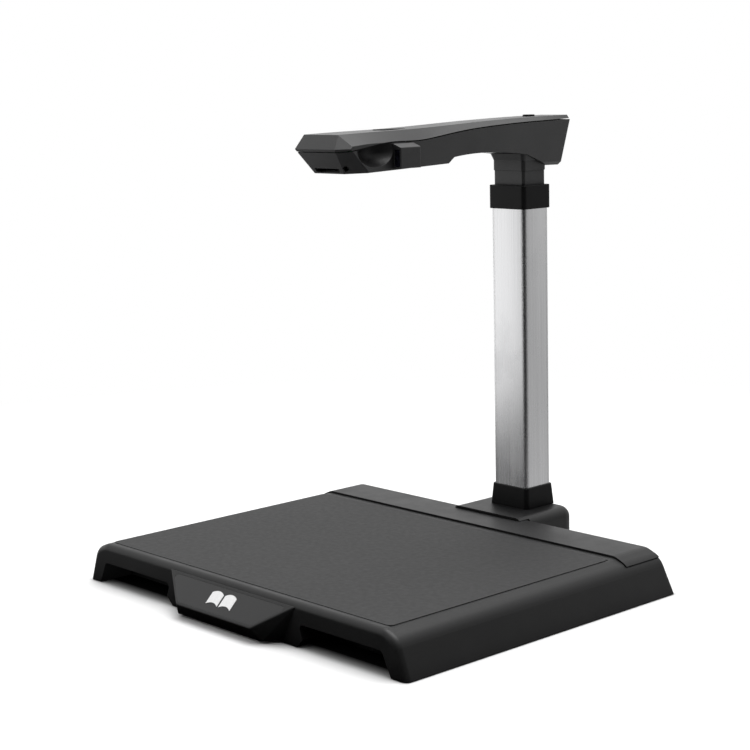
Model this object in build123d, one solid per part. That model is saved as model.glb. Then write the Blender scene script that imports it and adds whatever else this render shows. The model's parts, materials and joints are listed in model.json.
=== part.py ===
"""Desktop book scanner: a low document base, a telescopic column behind it and a camera arm.

Frame: millimetres, +Z up, +X to the user's right, -Y towards the user. The origin is the
centre of the base's flat underside; the rubber feet stand below it.
"""
import os

from build123d import *

# ---------------------------------------------------------------- driving dimensions
# base
BASE_W = 342.8              # width across the side skirts at the underside
BASE_D = 264.0              # depth, front face to the foot of the rear face
BASE_H = 30.0               # height of the document bed
SHOULDER_X = 150.0          # half width of the flat bed
FOLD_X = 162.0              # half width where the shoulder turns into the steep side
FOLD_Z = 25.4               # height of that fold
REAR_LEAN = 4.3             # how far the rear face leans in at the top
CORNER_R = 4.5              # rounding of the edges around the front and rear faces
FOLD_R = 13.0               # rounding of the folds along the sides, lower and upper
SHOULDER_R = 12.0
WALL = 2.2                  # moulded wall thickness
APRON_Z = 16.0              # lower edge of the front apron, above the finger openings
FINGER_IN = 70.0            # inner and outer ends of each finger opening, at the apron
FINGER_OUT = 149.5
FINGER_IN_LEAN = 4.0        # how far both ends lean outwards on the way down
FINGER_OUT_LEAN = 8.0
FINGER_FOOT = 6.0           # size of the cut corner at the foot of the inner end
FINGER_D = 28.0             # depth of the finger recess
FINGER_R = 3.0
BEYOND = 10.0               # how far cutting bodies run past what they cut
PLAY = 0.4                  # fitting clearance between loose parts

# front lobe that carries the badge
LOBE_TOP_X = 67.5
LOBE_TOP_Z = 27.0
LOBE_LIP_X = 40.0
LOBE_LIP_Z = 10.4
LOBE_LIP_OUT = 17.0         # how far the lower lip stands out from the front face
LOBE_FOOT_X = 46.0
LOBE_FOOT_OUT = 11.4
LOBE_ROOT_X = 54.0
LOBE_Z0 = 1.5
LOBE_CORNER_R = 4.5         # rounding of the two front corners, and of the edges of the panel
LOBE_EDGE_R = 1.5
BADGE_T = 1.4               # badge plate thickness
BADGE_MARGIN = 0.09         # share of the lobe panel's height left free around the plate
BADGE_SIDE = 1.3            # extra free width at its ends, as a multiple of that margin
BADGE_CORNER_R = (4.2, 2.2)     # lower and upper corners
BADGE_GAP = 0.003           # gap around the plate, as a share of the same height
PAGE_X0 = 0.9               # open-book pictogram: inner and outer edge of a page
PAGE_X1 = 13.0
PAGE_HALF_H = 4.6
PAGE_BOW = 2.0
EMBLEM_T = 0.3

# rear deck
DECK_Y = 90.0               # front edge of the raised rear deck
DECK_RISE = 1.4
DECK_Z0 = 25.6              # underside of the deck cover
SEAM = 0.2                  # visible gap between mouldings

# feet, cover and what the base holds
COVER_T = 2.0
COVER_GAP = 0.4
FOOT_R = 7.5
FOOT_OUT = 0.5
FOOT_SEAT = 0.8             # depth of the pocket that holds a foot
FOOT_X = 146.0
FOOT_FRONT_Y = -84.0
FOOT_REAR_Y = 110.0
FOOT_EDGE_R = 0.4
BALLAST = (230.0, 120.0, 4.0)
BALLAST_Y = -30.0
BOSS_CLEAR = 0.8            # gap between a screw boss and whatever passes it
BOARD = (92.0, 44.0, 1.6)
CHIPS = ((0.0, -10.0, 14.0, 1.6), (-20.0, -12.0, 9.0, 1.4))    # x, y, side, height on the board
POST_R = 2.6
POST_IN = 4.0
BOARD_X = -88.0
BOARD_Y = 101.0
BOARD_Z = 8.0
USB = (13.2, 16.0, 6.4)
USB_X = (-108.0, -70.0)
USB_Z = BOARD_Z + BOARD[2]
USB_WALL = 0.6
USB_SET_BACK = 2.4          # the sockets end this far inside the rear face
BOSS_R = 4.2                # screw bosses and their pilot holes
PILOT_R = 1.3
PILOT_TOP = 15.0
SCREW_R = 1.25
SCREW_HEAD_R = 3.0
SCREW_HEAD_H = 0.9
SCREW_LONG = 12.0
MAT = (300.0, 208.0, 0.9)
MAT_Y = -20.5
MAT_PROUD = 0.3
MAT_CORNER_R = 4.0

# column
COLUMN_Y = 158.5            # column centre, behind the base
HOUSING_HALF_X = 37.5
HOUSING_Y0 = 118.0
HOUSING_Y1 = 178.5
HOUSING_H = 33.4
HOUSING_CORNER_R = 12.0
HOUSING_TOP_R = 8.0
SOCKET_TOP = (36.7, 30.4)
SOCKET_FOOT = (39.3, 33.0)
SOCKET_Z1 = 49.5
SOCKET_R = 3.3
TUBE = (34.0, 27.6)
TUBE_R = 2.6
TUBE_WALL = 1.0
TUBE_Z0 = 12.0
TUBE_Z1 = 277.0
COLLAR = (36.8, 30.4)
COLLAR_R = 3.0
COLLAR_EDGE_R = 0.5
COLLAR_Z0 = 264.2
COLLAR_Z1 = 282.0
LIP_GAP = 0.05              # running clearance of the mast in the collar
BRACKET_T = 3.0
BRACKET_Z0 = 3.0
BRACKET_Y0 = 76.0
BRACKET_SCREW_Y = (84.0, 108.0)
BRACKET_BOSS_R = 5.0
BRACKET_HOLE_R = 2.1
BRACKET_SCREW = (3.6, 2.4, 1.9, 7.8)    # head radius and height, shank radius, length
TONGUE_HALF_X = 11.5
TONGUE_SLOT_Z = 16.0        # top of the opening that the tongue and the cable pass through
CABLE_HOLE_R = 4.5
PLUG_Z1 = 62.0
PLUG_WALL = 3.5
CABLE_R = 1.9
CABLE_BEND = 8.0

# telescopic mast
MAST = (30.8, 24.4)
MAST_R = 2.0
MAST_WALL = 2.0
MAST_Z0 = 150.0
MAST_Z1 = 311.0
NECK_WALL = 0.6             # thickness of the moulded neck around the mast, and of its flare
NECK_FLARE = 2.8
NECK_Z0 = 293.0             # moulded neck under the arm: foot, waist and top of its flare
NECK_Z1 = 300.5
NECK_Z2 = 306.5
PAD_Z = 160.0
PAD_H = 40.0
PAD_SEAT = 0.7
PAD_W = (18.0, 12.0)        # width on the broad faces and on the narrow ones
PAD_PROUD = 0.5

# camera arm: stations along Y as (y, fold height, top height, half width of the top flat)
ARM_STATIONS = (
    (-52.0, 318.6, 326.7, 17.8),
    (-37.0, 318.9, 327.0, 17.7),
    (0.0, 320.2, 327.8, 16.8),
    (32.0, 320.5, 328.4, 15.9),
    (50.0, 322.3, 329.0, 15.4),
    (72.0, 324.9, 329.9, 14.8),
    (94.0, 326.8, 330.9, 14.2),
    (116.0, 328.0, 331.7, 13.7),
    (140.0, 329.0, 332.4, 13.1),
    (170.0, 329.7, 333.0, 12.9),
    (206.0, 330.6, 333.5, 12.9),
)
ARM_HALF_W0 = 26.26         # half width of the side plane at y = 0
ARM_TAPER = 0.047           # and how much it narrows per millimetre of y
ARM_WALL = 1.8
ARM_REACH = 60.0            # half width of the bodies that shape the arm
ARM_LOW = 290.0             # and the heights they run between
ARM_HIGH = 345.0
ARM_CHAMFER = 2.6           # flat along the lower edges of the belly and the tail
BELLY_Z = 301.1             # underside of the front half at y = 0
BELLY_SLOPE = 0.032         # and its rise per millimetre of y
ARCH_Y0 = 59.6              # where the belly steps up into the arch
ARCH_Z0 = 307.2
ARCH_Z1 = 308.9             # highest point of the arch
ARCH_Y1 = 146.5             # where the arch meets the neck, and its height there
ARCH_Z2 = 305.4
TAIL_Y0 = 171.0             # where the tail's straight underside starts, behind the neck
TAIL_FOOT = (186.2, 295.9)
TAIL_SLOPE = -0.02
TAIL_RAKE = 0.349           # lean of the tail, millimetres of y per millimetre of height
ARM_EDGE_R = 1.0            # softening of the edges around the tail
NOSE_TIP = (20.6, -46.3, 317.2)     # corner where the four nose facets meet
NOSE_TOP = (17.7, -40.0, 327.0)
NOSE_SIDE = (28.1, -38.0, 317.2)
NOSE_FOOT = (16.4, -35.4, 303.0)
PARTING_NOSE_Z = 315.7
ARM_SEAM = 0.7              # groove between the arm's two shells
SCOOP_AT = (38.5, -14.0, 315.2)     # hollow that clears the view of the side camera
SCOOP_R = (20.5, 21.0, 13.6)
SLOT = (25.0, 5.0, 2.6)     # slot under the nose, and the round recess at each end of it
SLOT_Z = 301.1
RECESS_AT = (17.9, -33.9, 304.0)
RECESS_R = 1.7

# what the arm holds
ARM_SCREW = (2.2, 1.2, 0.95, 12.0)      # head radius and height, shank radius, length
ARM_BOSS_R = 3.2
CAMERA_BOARD = (29.0, 40.0, 1.6)
CAMERA_PLUG = (12.0, 7.0, 2.2)
CAMERA_PLUG_Y = 15.0
CAMERA_Z = 314.0            # underside of the camera board
SENSOR = (12.0, 11.0, 1.5)
SENSOR_Z = 312.49
LENS_Y = -4.0
LENS_R = 7.0
LENS_Z0 = 304.2             # front rim of the barrel, seat of its glass, top of its mount
LENS_SEAT_Z = 306.1
LENS_Z1 = 312.0
LENS_MOUNT = (17.0, 17.0, 1.6)
GLASS_R = 4.2
WINDOW_R = 9.5
WINDOW_T = 1.4
LED_Y = (-26.0, 18.0)
LED_PITCH = 8.0
LED_CAP_R = 3.2
LED_CAP_H = 1.6
LED_CAP_IN = 0.3            # depth of the caps inside the arm's underside
LED = (3.4, 3.4, 1.0)
LED_BOARD = (24.0, 7.0, 1.2)
LED_BOARD_Z = 309.0
BUTTON_Y = 169.5
BUTTON_R = 4.6
BUTTON_PROUD = 1.3
BUTTON_TRAVEL = 0.6
BUTTON_SKIRT = 3.0          # height of the cap, width of its flange and length of its stem
BUTTON_FLANGE = 1.2
BUTTON_STEM = 5.4
SWITCH = (6.2, 6.2, 3.2)
SWITCH_BOARD = (9.0, 11.0, 1.2)
STRIP = (13.0, 21.0, 0.7)
STRIP_Y = 23.5
STRIP_CORNER_R = 2.0

# side camera
POD_X0 = 26.6
POD_X1 = 34.0
POD_Y0 = 2.4
POD_Y1 = 21.9
POD_Z0 = 302.3
POD_Z1 = 316.8              # outer top edge; the top slopes up towards the arm
POD_TOP_Z = 319.4
POD_EDGE_R = 0.8
POD_INNER = 1.4             # walls of its hollow: towards the arm, outside, below
POD_OUTER = 0.9
POD_FLOOR = 1.1
POD_LENS_R = 2.4
SHAFT_R = 3.0
SHAFT_GAP = 0.05
SHAFT_BOSS_R = 5.5
CLIP_OUT = 1.6              # how far the clip stands out from the shaft
CLIP_IN = 0.6               # and how deep it sits in its groove
CLIP_MOUTH = 1.4

os.makedirs("parts", exist_ok=True)


# ---------------------------------------------------------------- helpers
def block(size, at):
    """Box of the given size with its lower face centred at the given point."""
    x, y, z = at
    return Pos(x, y, z) * Box(*size, align=(Align.CENTER, Align.CENTER, Align.MIN))


def span(x0, x1, y0, y1, z0, z1):
    """Box between two corners."""
    return Pos((x0 + x1) / 2, (y0 + y1) / 2, (z0 + z1) / 2) * Box(x1 - x0, y1 - y0, z1 - z0)


def rod(r, z0, z1, x=0.0, y=0.0):
    """Vertical cylinder."""
    return Pos(x, y, (z0 + z1) / 2) * Cylinder(r, z1 - z0)


def bar(size, r, z0, z1, y=COLUMN_Y):
    """Vertical bar of rounded rectangular section."""
    return Pos(0, y, z0) * extrude(RectangleRounded(size[0], size[1], r), z1 - z0)


def grown(size, by):
    return (size[0] + 2 * by, size[1] + 2 * by)


def along_x(points, half_width):
    """Outline in (y, z) carried across the object between x = -half_width and +half_width."""
    outline = make_face(Polyline(*points, close=True))
    sketch = Plane.YZ * outline
    return extrude(sketch, half_width, both=True)


def along_y(points, y0, y1):
    """Outline in (x, z) carried from y0 to y1."""
    plane = Plane((0, y0, 0), x_dir=(1, 0, 0), z_dir=(0, -1, 0))
    return extrude(plane * make_face(Polyline(*points, close=True)), -(y1 - y0))


def mirrored(solid):
    return mirror(solid, about=Plane.YZ)


def both_sides(solid):
    return solid + mirrored(solid)


def save(shape, node):
    export_step(shape, f"parts/{node}.step")


def polyhedron(points, faces):
    """Solid from corner points and faces given as point names."""
    made = [Face(Wire.make_polygon([Vector(*points[name]) for name in face])) for face in faces]
    return Solid(Shell(made))


def cut_by_plane(solid, p, q, r, keep_point):
    """Keep the side of the plane through p, q, r that holds keep_point."""
    a, b, c = Vector(*p), Vector(*q), Vector(*r)
    normal = (b - a).cross(c - a).normalized()
    if (Vector(*keep_point) - a).dot(normal) < 0:
        normal = normal * -1
    return split(solid, bisect_by=Plane(origin=a, z_dir=normal), keep=Keep.TOP)


# ---------------------------------------------------------------- base mouldings
FRONT_Y = -BASE_D / 2
REAR_Y = BASE_D / 2


def base_outline(inset, rise):
    """Half outline of the base across its width, drawn in by inset and raised by rise."""
    half = BASE_W / 2 - inset
    fold = FOLD_X - inset
    shoulder = SHOULDER_X - inset * 0.4
    top = BASE_H + rise - inset
    right = [(half, 0), (fold, FOLD_Z + rise * 0.6 - inset * 0.6), (shoulder, top)]
    left = [(-x, z) for x, z in reversed(right)]
    return right + left


def side_view(inset, rise):
    """The base seen from the side, carried across it: upright in front, leaning behind."""
    top = BASE_H + rise - inset
    rear_top = REAR_Y - REAR_LEAN - inset
    return along_x(
        [(FRONT_Y + inset, 0), (REAR_Y - inset, 0), (rear_top, top), (FRONT_Y + inset, top)],
        BASE_W / 2,
    )


def base_block(inset=0.0, rise=0.0):
    """Form of the base with plain folds, for the hollow in it and for what fits around it."""
    across = along_y(base_outline(inset, rise), FRONT_Y + inset, REAR_Y - inset)
    return across & side_view(inset, rise)


def soft_block(inset=0.0, rise=0.0):
    """The same with its upright corners rounded."""
    form = base_block(inset, rise)
    upright = [e for e in form.edges() if e.bounding_box().size.Z > BASE_H / 2]
    return fillet(upright, CORNER_R - inset)


def rounded_base(rise=0.0):
    """Outer form of the base: round folds along the sides and soft edges at both ends."""
    outline = make_face(Polyline(*base_outline(0.0, rise), close=True))
    for height, radius in ((FOLD_Z + rise * 0.6, FOLD_R), (BASE_H + rise, SHOULDER_R)):
        outline = fillet([v for v in outline.vertices() if abs(v.Y - height) < 0.01], radius)
    plane = Plane((0, FRONT_Y, 0), x_dir=(1, 0, 0), z_dir=(0, -1, 0))
    form = extrude(plane * outline, -BASE_D) & side_view(0.0, rise)
    for front in (True, False):
        ends = [e for e in form.edges() if abs(e.center().Y) > REAR_Y - REAR_LEAN - 1]
        ends = [e for e in ends if e.center().Z > 1 and (e.center().Y < 0) == front]
        form = fillet([e for e in ends if e.bounding_box().size.Y < REAR_LEAN + 1], CORNER_R)
    return form


def lobe():
    """Wedge in the middle of the front that carries the badge."""
    front = FRONT_Y
    points = {}
    for side, sign in (("r", 1), ("l", -1)):
        points["top_" + side] = (sign * LOBE_TOP_X, front, LOBE_TOP_Z)
        points["lip_" + side] = (sign * LOBE_LIP_X, front - LOBE_LIP_OUT, LOBE_LIP_Z)
        points["foot_" + side] = (sign * LOBE_FOOT_X, front - LOBE_FOOT_OUT, LOBE_Z0)
        points["root_" + side] = (sign * LOBE_ROOT_X, front, LOBE_Z0)
    faces = [
        ("top_l", "top_r", "lip_r", "lip_l"),
        ("lip_l", "lip_r", "foot_r", "foot_l"),
        ("foot_l", "foot_r", "root_r", "root_l"),
        ("root_l", "root_r", "top_r", "top_l"),
        ("top_r", "lip_r", "foot_r"),
        ("top_r", "foot_r", "root_r"),
        ("top_l", "lip_l", "foot_l"),
        ("top_l", "foot_l", "root_l"),
    ]
    wedge = polyhedron(points, faces)
    corners = [e for e in wedge.edges() if is_lobe_corner(e)]
    wedge = fillet(corners, LOBE_CORNER_R)
    free = [e for e in wedge.edges() if e.center().Y < front - 1 and e.center().Z > LOBE_Z0 + 1]
    return fillet([e for e in free if e.bounding_box().min.Z > LOBE_LIP_Z - 1], LOBE_EDGE_R)


def is_lobe_corner(edge):
    """Edge between the lip and one end of the lobe."""
    box = edge.bounding_box()
    return box.max.Y < FRONT_Y - 1 and box.size.Z > 1 and box.size.X < LOBE_FOOT_X


def badge_frame():
    """Plane of the lobe's sloping panel: x across, y up the slope, z outward."""
    low = Vector(0, FRONT_Y - LOBE_LIP_OUT, LOBE_LIP_Z)
    high = Vector(0, FRONT_Y, LOBE_TOP_Z)
    up = high - low
    return Plane(origin=low + up * 0.5, x_dir=(1, 0, 0), z_dir=Vector(1, 0, 0).cross(up)), up.length


def panel_outline(margin):
    """Trapezoid of the badge panel, drawn in all round by a share of its height."""
    _, height = badge_frame()
    edge = margin * height
    low, high = -height / 2 + edge, height / 2 - edge
    slope = (LOBE_TOP_X - LOBE_LIP_X) / height
    half_low = LOBE_LIP_X + (slope - BADGE_SIDE) * edge
    half_high = LOBE_TOP_X - (slope + BADGE_SIDE) * edge
    corners = [(-half_low, low), (half_low, low), (half_high, high), (-half_high, high)]
    outline = make_face(Polyline(*corners, close=True))
    for height, radius in zip((low, high), BADGE_CORNER_R):
        outline = fillet([v for v in outline.vertices() if abs(v.Y - height) < 0.01], radius)
    return outline


def badge_plate():
    """Flat plate let into the panel."""
    plane, _ = badge_frame()
    return extrude(plane * panel_outline(BADGE_MARGIN), -BADGE_T)


def badge_emblem():
    """Open-book pictogram in relief on the badge plate."""
    plane, _ = badge_frame()
    middle = (PAGE_X0 + PAGE_X1) / 2
    top, low = PAGE_HALF_H, -PAGE_HALF_H
    page = make_face(
        Line((PAGE_X0, low), (PAGE_X0, top))
        + ThreePointArc((PAGE_X0, top), (middle, top + PAGE_BOW), (PAGE_X1, top))
        + Line((PAGE_X1, top), (PAGE_X1, low))
        + ThreePointArc((PAGE_X1, low), (middle, low + PAGE_BOW), (PAGE_X0, low))
    )
    pages = page + mirror(page, about=Plane.YZ)
    return extrude(plane * pages, EMBLEM_T)


def deck_zone(front, low):
    """Everything above the height low and behind the line front."""
    return span(-BASE_W, BASE_W, front, REAR_Y + BEYOND, low, BASE_H + BEYOND)


def finger_recess(grow=0.0):
    """Opening on each side of the lobe for the fingers that lift the base."""
    top = APRON_Z + grow
    inner, outer = FINGER_IN - grow, FINGER_OUT + grow
    inner_foot = inner + FINGER_IN_LEAN
    outline = [
        (inner, top),
        (inner_foot, FINGER_FOOT),
        (inner_foot - FINGER_FOOT, 0),
        (inner_foot - FINGER_FOOT, -BEYOND),
        (outer + FINGER_OUT_LEAN, -BEYOND),
        (outer + FINGER_OUT_LEAN, 0),
        (outer, top),
    ]
    one = along_y(outline, FRONT_Y - BEYOND, FRONT_Y + FINGER_D + grow)
    upper = [e for e in one.edges().filter_by(Axis.Y) if e.center().Z > APRON_Z - 1]
    return both_sides(fillet(upper, FINGER_R))


def column_housing_form(inset=0.0):
    """Rounded box behind the base that carries the column."""
    half = HOUSING_HALF_X - inset
    form = span(-half, half, HOUSING_Y0, HOUSING_Y1 - inset, 0, HOUSING_H - inset)
    upright = [e for e in form.edges().filter_by(Axis.Z) if e.center().Y > COLUMN_Y]
    form = fillet(upright, HOUSING_CORNER_R - inset)
    top = [e for e in form.edges() if e.center().Z > HOUSING_H - inset - 0.01]
    form = fillet([e for e in top if e.center().Y > HOUSING_Y0 + 1], HOUSING_TOP_R - inset)
    return form - base_block(-SEAM - inset, DECK_RISE)


def screw_points():
    """Where the underside screws go into the base."""
    return [(-128.0, -92.0), (0.0, -104.0), (128.0, -92.0), (-128.0, 104.0), (0.0, 58.0), (128.0, 104.0)]


def base_shell():
    """Top moulding: bed, skirts, apron and lobe in one, open below and under the deck cover."""
    hollow = soft_block(WALL) - finger_recess(WALL) - deck_zone(DECK_Y - WALL, DECK_Z0 - WALL)
    shell = rounded_base() - finger_recess() + lobe() - hollow
    for x, y in screw_points():
        shell += rod(BOSS_R, COVER_T, BASE_H - WALL / 2, x, y)
        shell -= rod(PILOT_R, COVER_T - 1, PILOT_TOP, x, y)
    shell -= deck_zone(DECK_Y, DECK_Z0)
    shell -= block((MAT[0], MAT[1], BEYOND), (0, MAT_Y, BASE_H - MAT[2] + MAT_PROUD))
    half = TONGUE_HALF_X + PLAY
    shell -= span(-half, half, DECK_Y, REAR_Y + BEYOND, COVER_T, TONGUE_SLOT_Z)
    for x in USB_X:
        half = USB[0] / 2 + PLAY
        top = USB_Z + USB[2] + USB_WALL + PLAY
        shell -= span(x - half, x + half, DECK_Y, REAR_Y + BEYOND, USB_Z - PLAY, top)
    plane, _ = badge_frame()
    return shell - extrude(plane * panel_outline(BADGE_MARGIN - BADGE_GAP), -BADGE_T)


def base_bottom_cover():
    """Flat closing plate inside the skirts, with pockets for the feet and bosses for the bracket."""
    plate = soft_block(WALL + COVER_GAP) & span(-BASE_W, BASE_W, FRONT_Y, REAR_Y, 0, COVER_T)
    plate -= finger_recess(WALL + COVER_GAP)
    for x, y in foot_points():
        plate -= rod(FOOT_R + 0.1, -BEYOND, FOOT_SEAT, x, y)
    for x, y in screw_points():
        plate -= rod(SCREW_R + PLAY, -BEYOND, BEYOND, x, y)
        plate -= rod(SCREW_HEAD_R + PLAY, -BEYOND, SCREW_HEAD_H + 0.1, x, y)
    for y in BRACKET_SCREW_Y:
        plate += rod(BRACKET_BOSS_R, COVER_T / 2, BRACKET_Z0, 0, y)
        plate -= rod(BRACKET_HOLE_R - 0.1, COVER_T / 4, BEYOND, 0, y)
    return plate


def foot_points():
    return [(x, y) for x in (-FOOT_X, FOOT_X) for y in (FOOT_FRONT_Y, FOOT_REAR_Y)]


def rubber_feet():
    feet = []
    for x, y in foot_points():
        foot = rod(FOOT_R, -FOOT_OUT, FOOT_SEAT, x, y)
        feet.append(fillet(foot.edges().group_by(Axis.Z)[0], FOOT_EDGE_R))
    return Compound(feet)


def pan_screw(x, y, z_head, head_r, head_h, shank_r, length, up=1):
    """Pan-head screw with a cross recess; up = 1 points the shank upwards."""
    low = min(z_head, z_head + up * head_h)
    tip = z_head + up * length
    body = rod(head_r, low, low + head_h, x, y)
    body += rod(shank_r, min(z_head, tip), max(z_head, tip), x, y)
    slot = head_h * 0.5
    z_slot = z_head if up > 0 else z_head - slot
    for size in ((head_r * 1.2, slot), (slot, head_r * 1.2)):
        body -= block((size[0], size[1], slot), (x, y, z_slot))
    return body


def bottom_screws():
    made = []
    for x, y in screw_points():
        made.append(pan_screw(x, y, 0.1, SCREW_HEAD_R, SCREW_HEAD_H, SCREW_R, SCREW_LONG))
    return Compound(made)


def rear_deck_cover():
    """Raised cover over the rear strip of the base, in front of the column."""
    cover = rounded_base(DECK_RISE) & deck_zone(DECK_Y + SEAM, DECK_Z0 + 0.05)
    under = span(-BASE_W, BASE_W, DECK_Y + SEAM + WALL, REAR_Y, 0, BASE_H + DECK_RISE - WALL)
    return cover - (soft_block(WALL + 1.2, DECK_RISE) & under)


def bed_mat():
    mat = block(MAT, (0, MAT_Y, BASE_H - MAT[2] + MAT_PROUD))
    return fillet(mat.edges().filter_by(Axis.Z), MAT_CORNER_R)


def ballast_plate():
    """Steel plate that keeps the base down under the overhanging arm."""
    plate = block(BALLAST, (0, BALLAST_Y, COVER_T))
    for x, y in screw_points():
        plate -= rod(BOSS_R + BOSS_CLEAR, 0, BASE_H, x, y)
    return plate


def control_board():
    """Hub board of the base on four posts, with its two larger chips."""
    board = block(BOARD, (BOARD_X, BOARD_Y, BOARD_Z))
    top = BOARD_Z + BOARD[2]
    for x, y, side, height in CHIPS:
        board += block((side, side, height), (BOARD_X + x, BOARD_Y + y, top))
    for sign_x in (-1, 1):
        for sign_y in (-1, 1):
            x = BOARD_X + sign_x * (BOARD[0] / 2 - POST_IN)
            y = BOARD_Y + sign_y * (BOARD[1] / 2 - POST_IN)
            board += rod(POST_R, COVER_T, top - BOARD[2] / 2, x, y)
    for x, y in screw_points():
        board -= rod(BOSS_R + BOSS_CLEAR, 0, BASE_H, x, y)
    return board


def usb_sockets():
    """Two receptacles on the rear edge of the board, open to the rear."""
    sockets = []
    width, depth, height = USB
    y1 = REAR_Y - USB_SET_BACK
    y0 = y1 - depth
    z0 = USB_Z + 0.01
    for x in USB_X:
        shell = span(x - width / 2, x + width / 2, y0, y1, z0, z0 + height + USB_WALL)
        half = width / 2 - USB_WALL
        shell -= span(x - half, x + half, y0 + 3.0, y1 + BEYOND, z0 + USB_WALL, z0 + height)
        half -= 0.9
        shell += span(x - half, x + half, y0 + 2.0, y1 - 2.0, z0 + height * 0.38, z0 + height * 0.66)
        sockets.append(shell)
    return Compound(sockets)


# ---------------------------------------------------------------- column
def column_housing():
    """Moulded cover around the column's foot, open below."""
    form = column_housing_form() - column_housing_form(WALL)
    half = TONGUE_HALF_X + 1
    form -= span(-half, half, HOUSING_Y0, COLUMN_Y, -BEYOND, TONGUE_SLOT_Z)
    return form - bar(TUBE, TUBE_R, 0, HOUSING_H + BEYOND)


def column_bracket():
    """Steel foot of the column: a flat tongue into the base and a block inside the tube."""
    tongue_top = BRACKET_Z0 + BRACKET_T
    tongue = span(-TONGUE_HALF_X, TONGUE_HALF_X, BRACKET_Y0, COLUMN_Y + 10, BRACKET_Z0, tongue_top)
    inner = grown(TUBE, -TUBE_WALL - 0.1)
    plug = bar(inner, TUBE_R - TUBE_WALL, BRACKET_Z0, PLUG_Z1)
    plug -= bar(grown(inner, -PLUG_WALL), 1.0, tongue_top, PLUG_Z1 + BEYOND)
    bracket = tongue + plug
    for y in BRACKET_SCREW_Y:
        bracket -= rod(BRACKET_HOLE_R, 0, BEYOND, 0, y)
    return bracket - rod(CABLE_HOLE_R, 0, BEYOND, 0, COLUMN_Y)


def bracket_screws():
    z_head = BRACKET_Z0 + BRACKET_T + BRACKET_SCREW[1]
    return Compound([pan_screw(0, y, z_head, *BRACKET_SCREW, up=-1) for y in BRACKET_SCREW_Y])


def column_tube():
    tube = bar(TUBE, TUBE_R, TUBE_Z0, TUBE_Z1)
    return tube - bar(grown(TUBE, -TUBE_WALL), TUBE_R - TUBE_WALL, 0, TUBE_Z1 + BEYOND)


def column_socket():
    """Moulded collar at the foot of the column."""
    foot = Pos(0, COLUMN_Y, HOUSING_H) * RectangleRounded(*SOCKET_FOOT, SOCKET_R)
    top = Pos(0, COLUMN_Y, SOCKET_Z1) * RectangleRounded(*SOCKET_TOP, SOCKET_R)
    body = loft([foot, top])
    body = fillet(body.edges().group_by(Axis.Z)[-1], COLLAR_EDGE_R)
    return body - bar(TUBE, TUBE_R, 0, SOCKET_Z1 + BEYOND)


def upper_collar():
    """Moulded ring on the tube's upper end; its lip guides the mast."""
    ring = bar(COLLAR, COLLAR_R, COLLAR_Z0, COLLAR_Z1)
    levels = ring.edges().group_by(Axis.Z)
    ring = fillet(levels[-1] + levels[0], COLLAR_EDGE_R)
    ring -= bar(TUBE, TUBE_R, COLLAR_Z0 - BEYOND, TUBE_Z1)
    return ring - bar(grown(MAST, LIP_GAP), MAST_R + LIP_GAP, MAST_Z0, MAST_Z1)


def cable(points):
    """Round cable along a bent line."""
    path = FilletPolyline(*points, radius=CABLE_BEND)
    return sweep(Plane(origin=path @ 0, z_dir=path % 0) * Circle(CABLE_R), path=path)


def base_cable():
    """Cable from the control board to the foot of the column."""
    z = BRACKET_Z0 + BRACKET_T + CABLE_R + 0.2
    x0, x1 = BOARD_X + BOARD[0] / 2 + 0.5, -TONGUE_HALF_X / 2
    y0, y1 = BOARD_Y - 4.0, COLUMN_Y - 14.0
    return cable([(x0, y0, z), (x1, y0, z), (x1, y1, z)])


# ---------------------------------------------------------------- mast and arm
def pad_sites():
    """Centres and sizes of the guide pads on the mast, two per broad face and one per narrow one."""
    half_x, half_y = MAST[0] / 2, MAST[1] / 2
    depth = PAD_PROUD + PAD_SEAT
    sites = []
    for sign in (-1, 1):
        sites.append((0, sign * (half_y + PAD_PROUD - depth / 2), PAD_W[0], depth))
        sites.append((sign * (half_x + PAD_PROUD - depth / 2), 0, depth, PAD_W[1]))
    return sites


def pads(grow=0.0):
    made = []
    for x, y, size_x, size_y in pad_sites():
        size = (size_x + grow, size_y + grow, PAD_H + grow)
        made.append(block(size, (x, COLUMN_Y + y, PAD_Z - grow / 2)))
    return made


def guide_pads():
    return Compound(pads())


def inner_mast():
    mast = bar(MAST, MAST_R, MAST_Z0, MAST_Z1)
    mast -= bar(grown(MAST, -MAST_WALL), MAST_R / 2, 0, MAST_Z1 + BEYOND)
    for pocket in pads(0.02):
        mast -= pocket
    return mast


def mast_cable():
    """Cable from the mast's lower end up into the arm and forward to the camera board."""
    z = CAMERA_Z + CAMERA_BOARD[2] + CAMERA_PLUG[2] / 2
    y = LENS_Y + CAMERA_PLUG_Y + CAMERA_PLUG[1]
    return cable([(0, COLUMN_Y, MAST_Z0 + 4.0), (0, COLUMN_Y, z), (0, y, z)])


def arm_half(y, inset=0.0):
    return ARM_HALF_W0 - ARM_TAPER * y - inset


def arm_section(station, inset):
    """Section of the arm at one station: upright sides, sloping shoulders and a flat top."""
    y, fold, top, flat = station
    half = arm_half(y, inset)
    right = [(half, ARM_LOW), (half, fold - inset * 0.45), (flat - inset * 0.5, top - inset)]
    left = [(-x, z) for x, z in reversed(right)]
    plane = Plane((0, y, 0), x_dir=(1, 0, 0), z_dir=(0, -1, 0))
    return plane * make_face(Polyline(*right, *left, close=True))


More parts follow.
